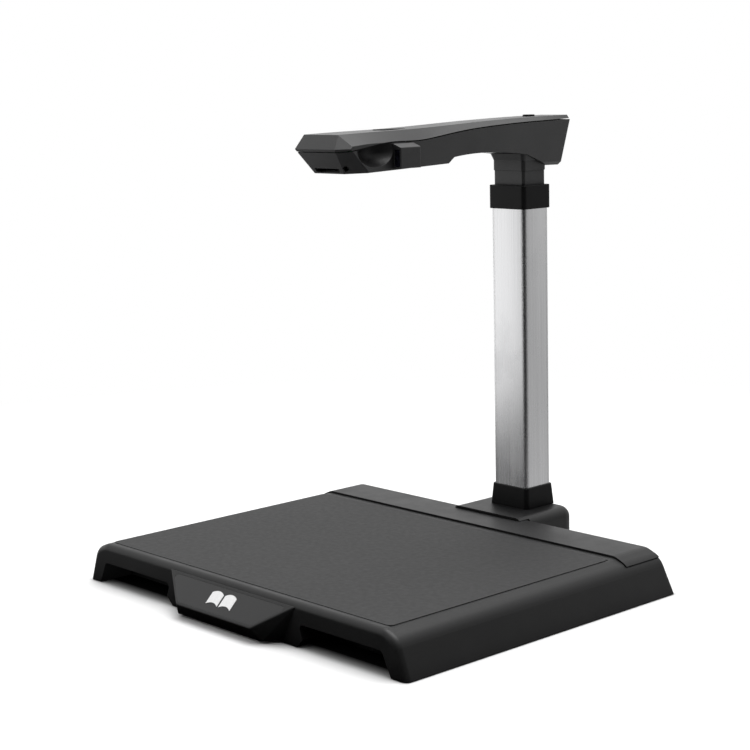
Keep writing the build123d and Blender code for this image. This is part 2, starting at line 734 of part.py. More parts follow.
def arm_profile(inset=0.0):
    """Side view of the arm: belly, arch in front of the column, raked tail."""
    z = inset
    tail_y = TAIL_FOOT[0] - inset
    tail_top = tail_y + TAIL_RAKE * (ARM_HIGH - TAIL_FOOT[1])
    arch = [(ARCH_Y0, arm_underside(ARCH_Y0 - 0.01) + z), (ARCH_Y0 + 6 + z * 0.4, ARCH_Z0 + z)]
    tail = [(ARCH_Y1, ARCH_Z2 + z), (TAIL_Y0, arm_underside(TAIL_Y0) + z), (tail_y, TAIL_FOOT[1] + z)]
    nose = (-ARM_REACH, arm_underside(-ARM_REACH) + z)
    edges = (
        Line(nose, arch[0])
        + Line(arch[0], arch[1])
        + Spline(arch[1], (92, ARCH_Z1 + z), (120, ARCH_Z1 - 0.8 + z), tail[0])
        + Polyline(*tail, (tail_top, ARM_HIGH), (-ARM_REACH, ARM_HIGH), nose)
    )
    return extrude(Plane.YZ * make_face(edges), ARM_REACH, both=True)


def lower_chamfer(y0, y1, inset):
    """Wedges that take off the two lower edges of the arm between y0 and y1."""
    size = ARM_CHAMFER - 0.59 * inset
    points = {}
    for end, y in (("a", y0), ("b", y1)):
        half = arm_half(y, inset)
        low = arm_underside(y) + inset
        points["in_" + end] = (half - size - 1.0, y, low - 1.0)
        points["up_" + end] = (half + 1.0, y, low + size + 1.0)
        points["out_" + end] = (half + 1.0, y, low - 1.0)
    faces = [
        ("in_a", "up_a", "out_a"),
        ("in_b", "out_b", "up_b"),
        ("in_a", "in_b", "up_b", "up_a"),
        ("up_a", "up_b", "out_b", "out_a"),
        ("out_a", "out_b", "in_b", "in_a"),
    ]
    return both_sides(polyhedron(points, faces))


def nose_cuts(form, inset=0.0):
    """Facets of the nose: upper and lower front, and the four corners."""
    top = Vector(*NOSE_TOP) + Vector(-inset * 0.4, inset, -inset * 0.4)
    tip = Vector(*NOSE_TIP) + Vector(-inset * 0.4, inset * 1.2, 0)
    side = Vector(*NOSE_SIDE) + Vector(-inset, inset * 0.5, 0)
    foot = Vector(*NOSE_FOOT) + Vector(-inset * 0.4, inset, inset * 0.4)
    inside = (0, 0, 315)
    across = Vector(1, 0, 0)
    form = cut_by_plane(form, top, top + across, tip, inside)
    form = cut_by_plane(form, foot, foot + across, tip, inside)
    for sign in (1, -1):
        flip = [Vector(sign * p.X, p.Y, p.Z) for p in (top, tip, side, foot)]
        form = cut_by_plane(form, flip[0], flip[1], flip[2], inside)
        form = cut_by_plane(form, flip[3], flip[1], flip[2], inside)
    return form


def arm_form(inset=0.0):
    """Body of the arm, or the hollow inside it when inset is its wall thickness."""
    form = loft([arm_section(station, inset) for station in ARM_STATIONS])
    form = nose_cuts(form & arm_profile(inset), inset)
    form -= lower_chamfer(-ARM_REACH, ARCH_Y0 + 1.0, inset)
    form -= lower_chamfer(ARCH_Y1, TAIL_FOOT[0] + BEYOND, inset)
    if inset:
        return form
    tail_edges = [e for e in form.edges() if e.center().Y > TAIL_FOOT[0] and e.length > 2]
    return fillet(tail_edges, ARM_EDGE_R)


def parting(low, high):
    """Body between two offsets of the arm's parting surface, which follows the shoulder fold."""
    points = [(-ARM_REACH - BEYOND, PARTING_NOSE_Z), (NOSE_SIDE[1], PARTING_NOSE_Z)]
    points += [(y, fold) for y, fold, _, _ in ARM_STATIONS if y >= 0.0]
    lower = Spline(*[(y, z + low) for y, z in points])
    upper = Spline(*[(y, z + high) for y, z in points])
    ends = Line(lower @ 0, upper @ 0) + Line(lower @ 1, upper @ 1)
    return extrude(Plane.YZ * make_face(lower + upper + ends), ARM_REACH, both=True)


def scoop(grow=0.0):
    """Rounded hollow in the side, in front of the side camera."""
    radii = tuple(r + grow for r in SCOOP_R)
    return Pos(*SCOOP_AT) * scale(Sphere(1.0), by=radii)


def camera_axis():
    return (POD_Y0 + POD_Y1) / 2, (POD_Z0 + POD_Z1) / 2


def lying_rod(r, x0, x1, y, z):
    return Pos((x0 + x1) / 2, y, z) * Rot(0, 90, 0) * Cylinder(r, x1 - x0)


def led_sites():
    return [(x * LED_PITCH, y) for y in LED_Y for x in (-1, 0, 1)]


def arm_screw_sites():
    return [(-11.0, 46.0), (11.0, 46.0), (-8.0, 178.0), (8.0, 178.0)]


def near_side(shape):
    return shape & span(0, ARM_REACH, -ARM_REACH, ARM_REACH, ARM_LOW, ARM_HIGH)


def arm_lower_shell(form, inner):
    """Lower moulding of the arm: sides, belly, neck boss and the side camera's bearing."""
    below = parting(-ARM_REACH, -ARM_SEAM / 2)
    shell = (form - inner) & below
    head_r, head_h, shank_r, _ = ARM_SCREW
    for x, y in arm_screw_sites():
        shell += rod(ARM_BOSS_R, ARM_LOW, ARM_HIGH, x, y) & form & below
        shell -= rod(shank_r + 0.15, ARM_LOW, ARM_HIGH, x, y)
        shell -= rod(head_r + PLAY, ARM_LOW, arm_underside(y) + head_h + PLAY, x, y)
    shell += near_side(scoop(ARM_WALL) & form & below)
    shell -= scoop()
    shell += neck_boss()
    shell -= bar(MAST, MAST_R, NECK_Z0 - BEYOND, ARM_HIGH)
    y, z = camera_axis()
    shell += lying_rod(SHAFT_BOSS_R, arm_half(y) - 5.0, arm_half(y) - 0.5, y, z)
    shell -= lying_rod(SHAFT_R + SHAFT_GAP, 0, ARM_REACH, y, z)
    opening_z = BELLY_Z + BEYOND
    shell -= rod(WINDOW_R, ARM_LOW, opening_z, 0, LENS_Y)
    for x, y in led_sites():
        shell -= rod(LED_CAP_R, ARM_LOW, opening_z, x, y)
    return shell - nose_recesses()


def neck_boss():
    """Flared socket under the arm that the mast is fixed in."""
    narrow = RectangleRounded(*grown(MAST, NECK_WALL), MAST_R + NECK_WALL)
    wide = RectangleRounded(*grown(MAST, NECK_FLARE), MAST_R + NECK_FLARE / 2)
    foot, waist = (Pos(0, COLUMN_Y, z) * narrow for z in (NECK_Z0, NECK_Z1))
    return loft([foot, waist]) + loft([waist, Pos(0, COLUMN_Y, NECK_Z2) * wide])


def nose_recesses():
    """Slot along the foot of the nose and a round recess at each end of it."""
    width, depth, height = SLOT
    y = NOSE_FOOT[1]
    slot = span(-width / 2, width / 2, y - BEYOND, y + depth, SLOT_Z, SLOT_Z + height)
    x, y, z = RECESS_AT
    hole = Pos(x, y, z) * Rot(40, 0, 35) * Cylinder(RECESS_R, 4.0)
    return slot + both_sides(hole)


def arm_upper_shell(form, inner):
    """Upper moulding of the arm: top flat and shoulders."""
    above = parting(ARM_SEAM / 2, ARM_REACH)
    shell = (form - inner) & above
    shell += near_side(scoop(ARM_WALL) & form & parting(ARM_SEAM / 2, ARM_SEAM / 2 + ARM_WALL))
    shell -= rod(BUTTON_R + 0.25, ARM_LOW, ARM_HIGH, 0, BUTTON_Y)
    seat = (STRIP[0] + 0.2, STRIP[1] + 0.2, BEYOND)
    shell -= block(seat, (0, STRIP_Y, arm_top(STRIP_Y) - ARM_WALL / 2))
    for x, y in arm_screw_sites():
        shell += rod(ARM_BOSS_R, ARM_LOW, ARM_HIGH, x, y) & inner & above
        shell -= rod(ARM_SCREW[2] + 0.05, ARM_LOW, arm_top(y) - 4.0, x, y)
    return shell


def arm_top(y):
    """Height of the arm's top at y, between the stations on either side."""
    for (y0, _, t0, _), (y1, _, t1, _) in zip(ARM_STATIONS, ARM_STATIONS[1:]):
        if y0 <= y <= y1:
            return t0 + (t1 - t0) * (y - y0) / (y1 - y0)
    return ARM_STATIONS[-1][2]


def arm_underside(y):
    """Height of the arm's underside at y, on the belly or on the tail behind the column."""
    if y < ARCH_Y0:
        return BELLY_Z + BELLY_SLOPE * y
    return TAIL_FOOT[1] + TAIL_SLOPE * (y - TAIL_FOOT[0])


def arm_screws():
    return Compound([pan_screw(x, y, arm_underside(y) + PLAY, *ARM_SCREW) for x, y in arm_screw_sites()])


def camera_board():
    board = block(CAMERA_BOARD, (0, LENS_Y, CAMERA_Z))
    return board + block(CAMERA_PLUG, (0, LENS_Y + CAMERA_PLUG_Y, CAMERA_Z + CAMERA_BOARD[2]))


def image_sensor():
    return block(SENSOR, (0, LENS_Y, SENSOR_Z))


def lens_barrel():
    """Barrel on its square mount, open in front for the glass and behind for the sensor."""
    barrel = rod(LENS_R, LENS_Z0, LENS_Z1, 0, LENS_Y)
    barrel = chamfer(barrel.edges().group_by(Axis.Z)[0], 0.8)
    barrel += block(LENS_MOUNT, (0, LENS_Y, LENS_Z1 - 1.2))
    barrel -= rod(GLASS_R, ARM_LOW, LENS_SEAT_Z, 0, LENS_Y)
    barrel -= rod(GLASS_R - 1.2, ARM_LOW, LENS_Z1, 0, LENS_Y)
    return barrel - block((SENSOR[0] + 0.2, SENSOR[1] + 0.2, BEYOND), (0, LENS_Y, LENS_Z1))


def lens_glass():
    """Front element of the lens."""
    dome = Pos(0, LENS_Y, LENS_SEAT_Z + 6.4) * Sphere(7.4)
    return dome & rod(GLASS_R - 0.05, ARM_LOW, LENS_SEAT_Z - 0.05, 0, LENS_Y)


def lens_window():
    z = arm_underside(LENS_Y) + 0.2
    return rod(WINDOW_R - 0.05, z, z + WINDOW_T, 0, LENS_Y)


def led_board():
    return Compound([block(LED_BOARD, (0, y, LED_BOARD_Z)) for y in LED_Y])


def leds():
    z = LED_BOARD_Z - LED[2] - 0.05
    return Compound([block(LED, (x, y, z)) for x, y in led_sites()])


def led_lenses():
    """Clear caps over the lamps, just inside the arm's underside."""
    caps = []
    for x, y in led_sites():
        z = arm_underside(y) + LED_CAP_IN
        caps.append(rod(LED_CAP_R - 0.05, z, z + LED_CAP_H, x, y))
    return Compound(caps)


def touch_strip():
    strip = block(STRIP, (0, STRIP_Y, arm_top(STRIP_Y) - STRIP[2] / 2))
    return fillet(strip.edges().filter_by(Axis.Z), STRIP_CORNER_R)


def top_button():
    """Round cap with a flange under the arm's skin and a stem down to the switch."""
    skin = arm_top(BUTTON_Y)
    top = skin + BUTTON_PROUD
    cap = rod(BUTTON_R, top - BUTTON_SKIRT, top, 0, BUTTON_Y)
    cap = fillet(cap.edges().group_by(Axis.Z)[-1], 0.6)
    flange_top = skin - ARM_WALL - 0.2
    cap += rod(BUTTON_R + BUTTON_FLANGE, flange_top - 1.0, flange_top, 0, BUTTON_Y)
    return cap + rod(1.5, skin - BUTTON_STEM, top - 1.0, 0, BUTTON_Y)


def button_switch():
    """Push switch on its small board; its plunger ends just below the pressed button."""
    top = arm_top(BUTTON_Y) - BUTTON_STEM - BUTTON_TRAVEL - 0.05
    body_z = top - SWITCH[2] - 0.6
    switch = block(SWITCH, (0, BUTTON_Y, body_z))
    switch += rod(1.7, top - 0.61, top, 0, BUTTON_Y)
    return switch + block(SWITCH_BOARD, (0, BUTTON_Y, body_z - SWITCH_BOARD[2]))


def pod_room(y0, y1, gap=0.0):
    """Inside of the side camera from y0 to y1, less a gap all round."""
    x0, x1 = POD_X0 + POD_INNER + gap, POD_X1 - POD_OUTER - gap
    return span(x0, x1, POD_Y0 + y0, POD_Y0 + y1, POD_Z0 + POD_FLOOR + gap, POD_Z1 - POD_INNER - gap)


def side_camera_housing():
    """Small box with a mouth in front and a sloping top."""
    y, z = camera_axis()
    profile = [(POD_X0, POD_Z0), (POD_X1, POD_Z0), (POD_X1, POD_Z1), (POD_X0, POD_TOP_Z)]
    body = along_y(profile, POD_Y0, POD_Y1)
    body = fillet([e for e in body.edges() if e.center().X > POD_X1 - 0.2], POD_EDGE_R)
    body -= pod_room(-BEYOND, POD_Y1 - POD_Y0 - POD_INNER)
    return body - lying_rod(SHAFT_R, POD_X0 - 1.0, POD_X0 + 3.0, y, z)


def side_camera_window():
    return pod_room(0.15, 1.15, 0.05)


def side_camera_lens():
    """Lens barrel and its small board, behind the window."""
    _, z = camera_axis()
    lens = Pos((POD_X0 + POD_X1) / 2 + 0.1, POD_Y0 + 4.4, z) * Rot(90, 0, 0) * Cylinder(POD_LENS_R, 6.0)
    return lens + pod_room(7.3, 8.5, 0.1)


def side_camera_shaft():
    """Pivot of the side camera; its inner end is held by a retaining clip."""
    y, z = camera_axis()
    shaft = lying_rod(SHAFT_R, arm_half(y) - 8.0, POD_X0 + 1.4, y, z)
    groove = lying_rod(SHAFT_R + 1.0, arm_half(y) - 6.4, arm_half(y) - 5.6, y, z)
    return shaft - (groove - lying_rod(SHAFT_R - CLIP_IN, 0, ARM_REACH, y, z))


def shaft_clip():
    """Open ring in the groove of the shaft."""
    y, z = camera_axis()
    ring = lying_rod(SHAFT_R + CLIP_OUT, arm_half(y) - 6.35, arm_half(y) - 5.65, y, z)
    ring -= lying_rod(SHAFT_R - CLIP_IN + 0.05, 0, ARM_REACH, y, z)
    return ring - span(0, ARM_REACH, y - CLIP_MOUTH, y + CLIP_MOUTH, z, z + BEYOND)


PLAIN_NODES = (
    base_shell, badge_plate, badge_emblem, base_bottom_cover, rubber_feet, bottom_screws,
    rear_deck_cover, bed_mat, ballast_plate, control_board, usb_sockets, base_cable,
    column_housing, column_bracket, bracket_screws, column_tube, column_socket, upper_collar,
    guide_pads, inner_mast, mast_cable,
    arm_screws, camera_board, image_sensor, lens_barrel, lens_glass, lens_window,
    led_board, leds, led_lenses, touch_strip, top_button, button_switch,
    side_camera_housing, side_camera_window, side_camera_lens, side_camera_shaft, shaft_clip,
)

for make in PLAIN_NODES:
    save(make(), make.__name__)

arm = arm_form()
arm_inside = arm_form(ARM_WALL)
save(arm_lower_shell(arm, arm_inside), "arm_lower_shell")
save(arm_upper_shell(arm, arm_inside), "arm_upper_shell")
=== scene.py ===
"""Looks of the desktop book scanner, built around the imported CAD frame. Metres throughout."""
import json
import math

import bpy
from mathutils import Matrix, Vector

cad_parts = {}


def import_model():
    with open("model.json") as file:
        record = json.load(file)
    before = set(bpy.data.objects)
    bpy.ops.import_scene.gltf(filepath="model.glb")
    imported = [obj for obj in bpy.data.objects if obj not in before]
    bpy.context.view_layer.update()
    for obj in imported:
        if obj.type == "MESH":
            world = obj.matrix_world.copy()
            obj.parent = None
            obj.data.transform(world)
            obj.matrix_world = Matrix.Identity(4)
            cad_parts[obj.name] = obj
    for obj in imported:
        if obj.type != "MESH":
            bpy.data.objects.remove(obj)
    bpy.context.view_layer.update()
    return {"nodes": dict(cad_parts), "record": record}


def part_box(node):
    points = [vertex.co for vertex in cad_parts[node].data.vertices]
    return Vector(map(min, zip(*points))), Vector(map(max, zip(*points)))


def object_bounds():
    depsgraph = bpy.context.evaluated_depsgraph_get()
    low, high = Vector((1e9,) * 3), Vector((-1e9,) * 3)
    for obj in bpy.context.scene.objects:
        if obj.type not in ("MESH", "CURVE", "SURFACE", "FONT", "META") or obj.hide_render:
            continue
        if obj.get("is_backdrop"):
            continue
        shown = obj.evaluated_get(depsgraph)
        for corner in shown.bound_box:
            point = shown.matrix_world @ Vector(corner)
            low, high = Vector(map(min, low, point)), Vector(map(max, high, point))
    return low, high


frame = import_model()
NODES = frame["nodes"]

# ---------------------------------------------------------------- sizes, in metres
MM = 0.001
SMOOTH_ANGLE = math.radians(24)
FLOOR_GAP = 0.05 * MM           # floor just under the feet
FLOOR_HALF = 3.0
CORNER_SOFT = 4.5 * MM          # softness of the column's corners in reflections
FACE_BOW = 6.0                  # bow of the column's faces: tilt of the surface per metre off its middle
CAMERA_AT = (0.9291, -0.8456, 0.3641)
CAMERA_AZIMUTH = math.radians(47.53)
CAMERA_PITCH = math.radians(9.44)
CAMERA_ROLL = math.radians(-1.34)
CAMERA_LENS = 85.64             # mm, on a 36 mm sensor
SENSOR = 36.0
FADE_FROM, FADE_TO = 0.35, 0.9  # metres from the object over which the floor fades to the backdrop
CEILING_FROM, CEILING_TO = 0.35, 0.8  # steepness over which the studio turns into its bright ceiling
LAMP_AT = (0.05, 0.25, 1.9)
LAMP_AIM = (0.0, 0.0, 0.1)
LAMP_SIDE = 1.5
LAMP_POWER = 30.0               # watts
# studio brightness from straight behind the object (0) round to behind the camera (1)
AROUND = ((0.0, 1.0), (0.48, 0.97), (0.58, 0.72), (0.68, 0.20), (0.78, 0.03), (1.0, 0.01))
RIGHT_DIM = 0.62                # how much of that is left on the far right
# painted shadow on the floor under the base, by distance outwards from its bottom cover's outline
SHADE_IN = -0.010               # dark from here inwards
SHADE_OUT = 0.006               # pale from here outwards
HOLLOW_REACH = 0.022            # how far a hollow's walls reach in the painted shade
HOLLOW_LEAST = 0.25             # what is left of a moulding's colour and gloss deep in a hollow, under the painted shade
# brightness of the studio floor in reflections, by distance from the object in metres: left, and far right
LEFT_FLOOR = ((0.0, 0.04), (0.4, 0.12), (0.5, 0.62), (0.6, 1.05), (0.9, 1.25), (3.0, 1.14))
RIGHT_FLOOR = ((0.0, 0.53), (0.45, 0.53), (0.75, 0.47), (1.1, 0.44), (1.5, 0.46), (2.5, 0.58), (3.0, 0.64))


# ---------------------------------------------------------------- node helpers
class Shader:
    """Small wrapper that builds a node tree for one material."""

    def __init__(self, name):
        self.material = bpy.data.materials.new(name)
        self.material.use_nodes = True
        self.tree = self.material.node_tree
        self.tree.nodes.clear()
        self.out = self.add("ShaderNodeOutputMaterial")
        self.bsdf = self.add("ShaderNodeBsdfPrincipled")
        self.link(self.bsdf.outputs[0], self.out.inputs["Surface"])
        self.coords = self.add("ShaderNodeTexCoord").outputs["Object"]

    @classmethod
    def on_tree(cls, tree):
        """The same helpers on a tree that isn't a material, starting empty."""
        made = cls.__new__(cls)
        made.tree = tree
        tree.nodes.clear()
        return made

    def add(self, kind, **settings):
        node = self.tree.nodes.new(kind)
        for key, value in settings.items():
            setattr(node, key, value)
        return node

    def link(self, source, target):
        self.tree.links.new(source, target)

    def feed(self, socket, value):
        """Link the value when it comes from another node, else store it."""
        if isinstance(value, bpy.types.NodeSocket):
            self.link(value, socket)
        else:
            socket.default_value = value

    def set(self, node, **values):
        """Set or link inputs by name; underscores in the name stand for spaces."""
        for key, value in values.items():
            self.feed(node.inputs[key.replace("_", " ")], value)
        return node

    def scaled(self, scale):
        node = self.add("ShaderNodeMapping")
        self.set(node, Vector=self.coords, Scale=scale)
        return node.outputs[0]

    def noise(self, scale, detail=2.0, rough=0.5, vector=None):
        node = self.add("ShaderNodeTexNoise")
        self.set(node, Vector=vector or self.coords, Scale=scale, Detail=detail, Roughness=rough)
        return node.outputs["Fac"]

    def cells(self, scale):
        node = self.add("ShaderNodeTexVoronoi")
        self.set(node, Vector=self.coords, Scale=scale)
        return node.outputs["Distance"]

    def math(self, operation, a, b=0.0):
        node = self.add("ShaderNodeMath", operation=operation)
        for socket, value in zip(node.inputs, (a, b)):
            self.feed(socket, value)
        return node.outputs[0]

    def span(self, value, low, high, to_low=0.0, to_high=1.0):
        """Stretch low..high to to_low..to_high, holding the ends."""
        node = self.add("ShaderNodeMapRange", clamp=True)
        self.set(node, Value=value)
        for index, number in enumerate((low, high, to_low, to_high), start=1):
            node.inputs[index].default_value = number
        return node.outputs[0]

    def vector_node(self, operation, *values):
        node = self.add("ShaderNodeVectorMath", operation=operation)
        for socket, value in zip(node.inputs, values):
            self.feed(socket, value)
        return node

    def vector(self, operation, *values):
        return self.vector_node(operation, *values).outputs["Vector"]

    def dot(self, a, b):
        return self.vector_node("DOT_PRODUCT", a, b).outputs["Value"]

    def length(self, vector):
        return self.vector_node("LENGTH", vector).outputs["Value"]

    def unit(self, vector):
        return self.vector("NORMALIZE", vector)

    def ramp(self, value, stops):
        """Grey level from (position, level) pairs."""
        node = self.add("ShaderNodeValToRGB")
        self.link(value, node.inputs[0])
        elements = node.color_ramp.elements
        while len(elements) < len(stops):
            elements.new(0.5)
        for element, (position, level) in zip(elements, stops):
            element.position = position
            element.color = (level, level, level, 1.0)
        return node.outputs[0]

    def mix_shader(self, factor, a, b):
        node = self.add("ShaderNodeMixShader")
        for socket, source in zip(node.inputs, (factor, a, b)):
            self.link(source, socket)
        return node.outputs[0]

    def mix(self, factor, a, b):
        """Blend two colours, each a node output or three numbers."""
        node = self.add("ShaderNodeMix", data_type="RGBA")
        self.link(factor, node.inputs[0])
        for socket, color in ((node.inputs[6], a), (node.inputs[7], b)):
            self.feed(socket, color if isinstance(color, bpy.types.NodeSocket) else (*color, 1.0))
        return node.outputs[2]

    def soft_normal(self, radius):
        """Surface direction with every edge rounded to the radius."""
        node = self.add("ShaderNodeBevel", samples=4)
        self.set(node, Radius=radius)
        return node.outputs[0]

    def edge_mask(self, radius):
        """1 on convex and concave edges, 0 on open faces."""
        geometry = self.add("ShaderNodeNewGeometry")
        straight = self.dot(geometry.outputs["Normal"], self.soft_normal(radius))
        return self.span(straight, 0.985, 0.86)

    def painted_shade_factor(self, reach):
        """1 on open faces, falling deep in hollows: painted shade where studio light hardly gets in."""
        node = self.add("ShaderNodeAmbientOcclusion", samples=6)
        self.set(node, Distance=reach)
        return self.span(node.outputs["AO"], 0.30, 0.85, HOLLOW_LEAST, 1.0)

    def bump(self, height, distance, strength=1.0, normal=None):
        node = self.add("ShaderNodeBump")
        self.set(node, Height=height, Distance=distance, Strength=strength)
        if normal is not None:
            self.link(normal, node.inputs["Normal"])
        return node.outputs[0]


def moulded(name, color, rough, spec, grain, depth, wear, bevel):
    """Spark-eroded moulded plastic: fine pebble grain, faint cloudiness, rubbed edges, and painted shade
    that darkens colour and gloss in hollows.
    """
    s = Shader(name)
    pebbles = s.cells(grain)
    fine = s.noise(grain * 1.7, 3.0, 0.6)
    height = s.math("ADD", s.math("MULTIPLY", pebbles, 0.7), s.math("MULTIPLY", fine, 0.5))
    cloud = s.noise(22.0, 4.0, 0.55)
    darker = [c * 0.82 for c in color]
    lighter = [c * 1.16 for c in color]
    tone = s.mix(s.span(cloud, 0.3, 0.7), darker, lighter)
    speck = s.span(s.noise(grain * 0.6, 1.0), 0.35, 0.72)
    tone = s.mix(s.math("MULTIPLY", speck, 0.25), tone, [c * 1.5 + 0.004 for c in color])
    patchy = s.span(s.noise(140.0, 3.0), 0.35, 0.65, 0.35, 1.0)
    rubbed = s.math("MULTIPLY", s.edge_mask(bevel * 2.2), patchy)
    rubbed = s.math("MULTIPLY", rubbed, wear)
    tone = s.mix(rubbed, tone, [c * 2.2 + 0.02 for c in color])
    handled = s.span(s.noise(35.0, 5.0, 0.6), 0.3, 0.75, rough - 0.05, rough + 0.07)
    roughness = s.math("SUBTRACT", handled, s.math("MULTIPLY", rubbed, 0.12))
    normal = s.bump(height, depth, 1.0, s.soft_normal(bevel))
    # painted shade: colour and gloss fall towards black deep in hollows
    painted_shade_factor = s.painted_shade_factor(HOLLOW_REACH)
    tone = s.mix(painted_shade_factor, (0.0, 0.0, 0.0), tone)
    gloss = s.math("MULTIPLY", painted_shade_factor, spec)
    s.set(s.bsdf, Base_Color=tone, Roughness=roughness, Specular_IOR_Level=gloss, Normal=normal)
    return s.material


def bowed_normal(s, node):
    """Surface direction of a drawn tube, whose flat sides are slightly bowed and corners soft."""
    low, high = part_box(node)
    middle = ((low[0] + high[0]) / 2, (low[1] + high[1]) / 2, 0.0)
    offset = s.vector("SUBTRACT", s.coords, middle)
    sideways = s.vector("MULTIPLY", offset, (FACE_BOW, FACE_BOW, 0.0))
    return s.unit(s.vector("ADD", s.soft_normal(CORNER_SOFT), sideways))


def brushed_aluminium(name, color):
    """Clear-anodised aluminium brushed along Z: fine streaks, anisotropic sheen, faint handling marks."""
    s = Shader(name)
    streaks = s.noise(1.0, 3.0, 0.6, s.scaled((2600.0, 2600.0, 9.0)))
    broad = s.noise(1.0, 2.0, 0.5, s.scaled((420.0, 420.0, 3.0)))
    lines = s.math("ADD", s.math("MULTIPLY", streaks, 0.65), s.math("MULTIPLY", broad, 0.35))
    tone = s.mix(s.span(lines, 0.3, 0.7), [c * 0.86 for c in color], [min(c * 1.05, 1.0) for c in color])
    marks = s.span(s.noise(30.0, 4.0), 0.55, 0.75)
    tone = s.mix(s.math("MULTIPLY", marks, 0.12), tone, [c * 0.75 for c in color])
    roughness = s.math("ADD", s.span(lines, 0.25, 0.75, 0.20, 0.30), s.math("MULTIPLY", marks, 0.05))
    normal = s.bump(lines, 0.010 * MM, 0.6, bowed_normal(s, "column_tube"))
    tangent = s.add("ShaderNodeTangent", direction_type="RADIAL", axis="Z")
    s.set(s.bsdf, Base_Color=tone, Metallic=1.0, Roughness=roughness, Anisotropic=0.5, Normal=normal)
    s.set(s.bsdf, Anisotropic_Rotation=0.25, Tangent=tangent.outputs[0])
    return s.material


def plated_steel(name, color, rough=0.32):
    """Zinc-plated or blackened steel with a fine crystalline mottle and scratches."""
    s = Shader(name)
    spangle = s.cells(260.0)
    scratches = s.noise(1.0, 2.0, 0.6, s.scaled((900.0, 60.0, 300.0)))
    tone = s.mix(s.span(spangle, 0.1, 0.7), [c * 0.8 for c in color], [min(c * 1.15, 1.0) for c in color])
    roughness = s.span(scratches, 0.3, 0.7, rough - 0.08, rough + 0.1)
    normal = s.bump(scratches, 0.01 * MM, 0.5, s.soft_normal(0.15 * MM))
    s.set(s.bsdf, Base_Color=tone, Metallic=1.0, Roughness=roughness, Normal=normal)
    return s.material


def soft_rubber(name, color, rough=0.7, grain=900.0, depth=0.06 * MM):
    """Matt rubber with a leather-like pebble and a dusty bloom."""
    s = Shader(name)
    pebble = s.cells(grain)
    fine = s.noise(grain * 2.2, 3.0)
    height = s.math("ADD", pebble, s.math("MULTIPLY", fine, 0.4))
    bloom = s.span(s.noise(14.0, 5.0, 0.6), 0.35, 0.75)
    tone = s.mix(s.math("MULTIPLY", bloom, 0.3), color, [c * 1.5 + 0.003 for c in color])
    roughness = s.span(s.noise(260.0, 3.0), 0.3, 0.7, rough - 0.04, rough + 0.05)
    normal = s.bump(height, depth, 0.9, s.soft_normal(0.25 * MM))
    s.set(s.bsdf, Base_Color=tone, Roughness=roughness, Specular_IOR_Level=0.35, Normal=normal)
    s.set(s.bsdf, Sheen_Weight=0.08, Sheen_Roughness=0.5)
    return s.material


def circuit_laminate(name):
    """Green solder mask over copper tracks."""
    s = Shader(name)
    tracks = s.add("ShaderNodeTexBrick")
    s.set(tracks, Vector=s.coords, Scale=240.0, Mortar_Size=0.06)
    mask = s.math("MULTIPLY", tracks.outputs["Fac"], s.span(s.noise(60.0), 0.45, 0.55))
    weave = s.noise(900.0, 2.0)
    tone = s.mix(mask, (0.012, 0.10, 0.045), (0.05, 0.22, 0.09))
    tone = s.mix(s.math("MULTIPLY", weave, 0.2), tone, (0.02, 0.07, 0.03))
    s.set(s.bsdf, Base_Color=tone, Roughness=0.3, Normal=s.bump(mask, 0.03 * MM))
    return s.material


def clear_glass(name, tint, rough=0.03, body=0.0):
    """Coated window: faint smears, tinted, with a dark backing when body is above 0."""
    s = Shader(name)
    smear = s.span(s.noise(80.0, 4.0, 0.6), 0.4, 0.8, rough, rough + 0.08)
    tone = s.mix(s.span(s.noise(200.0, 2.0), 0.3, 0.7), tint, [c * 0.9 for c in tint])
    s.set(s.bsdf, Base_Color=tone, Roughness=smear, IOR=1.5, Transmission_Weight=1.0 - body)
    s.set(s.bsdf, Coat_Weight=0.6, Coat_Roughness=0.05, Coat_Tint=(0.75, 0.8, 1.0, 1.0))
    return s.material


def lamp_body(name):
    """White ceramic lamp with a yellow phosphor centre."""
    s = Shader(name)
    phosphor = s.span(s.cells(290.0), 0.25, 0.45)
    tone = s.mix(phosphor, (0.95, 0.78, 0.18), (0.86, 0.85, 0.8))
    grain = s.noise(1500.0, 2.0)
    s.set(s.bsdf, Base_Color=tone, Roughness=0.35, Normal=s.bump(grain, 0.02 * MM))
    return s.material


def painted_mark(name, color):
    """Printed or moulded light marking with slight ink mottling."""
    s = Shader(name)
    ink = s.span(s.noise(700.0, 4.0, 0.65), 0.3, 0.7)
    tone = s.mix(ink, [c * 0.88 for c in color], color)
    roughness = s.span(s.noise(120.0, 2.0), 0.3, 0.7, 0.42, 0.58)
    normal = s.bump(ink, 0.01 * MM, 1.0, s.soft_normal(0.12 * MM))
    s.set(s.bsdf, Base_Color=tone, Roughness=roughness, Normal=normal)
    return s.material


BASE_BLACK = (0.0033, 0.0033, 0.0035)
ARM_BLACK = (0.0180, 0.0180, 0.0185)
TRIM_BLACK = (0.0045, 0.0045, 0.0047)
BADGE_BLACK = (0.006, 0.006, 0.0063)
CHIP_BLACK = (0.012, 0.012, 0.012)
CABLE_BLACK = (0.012, 0.012, 0.012)
NYLON_WHITE = (0.72, 0.71, 0.66)

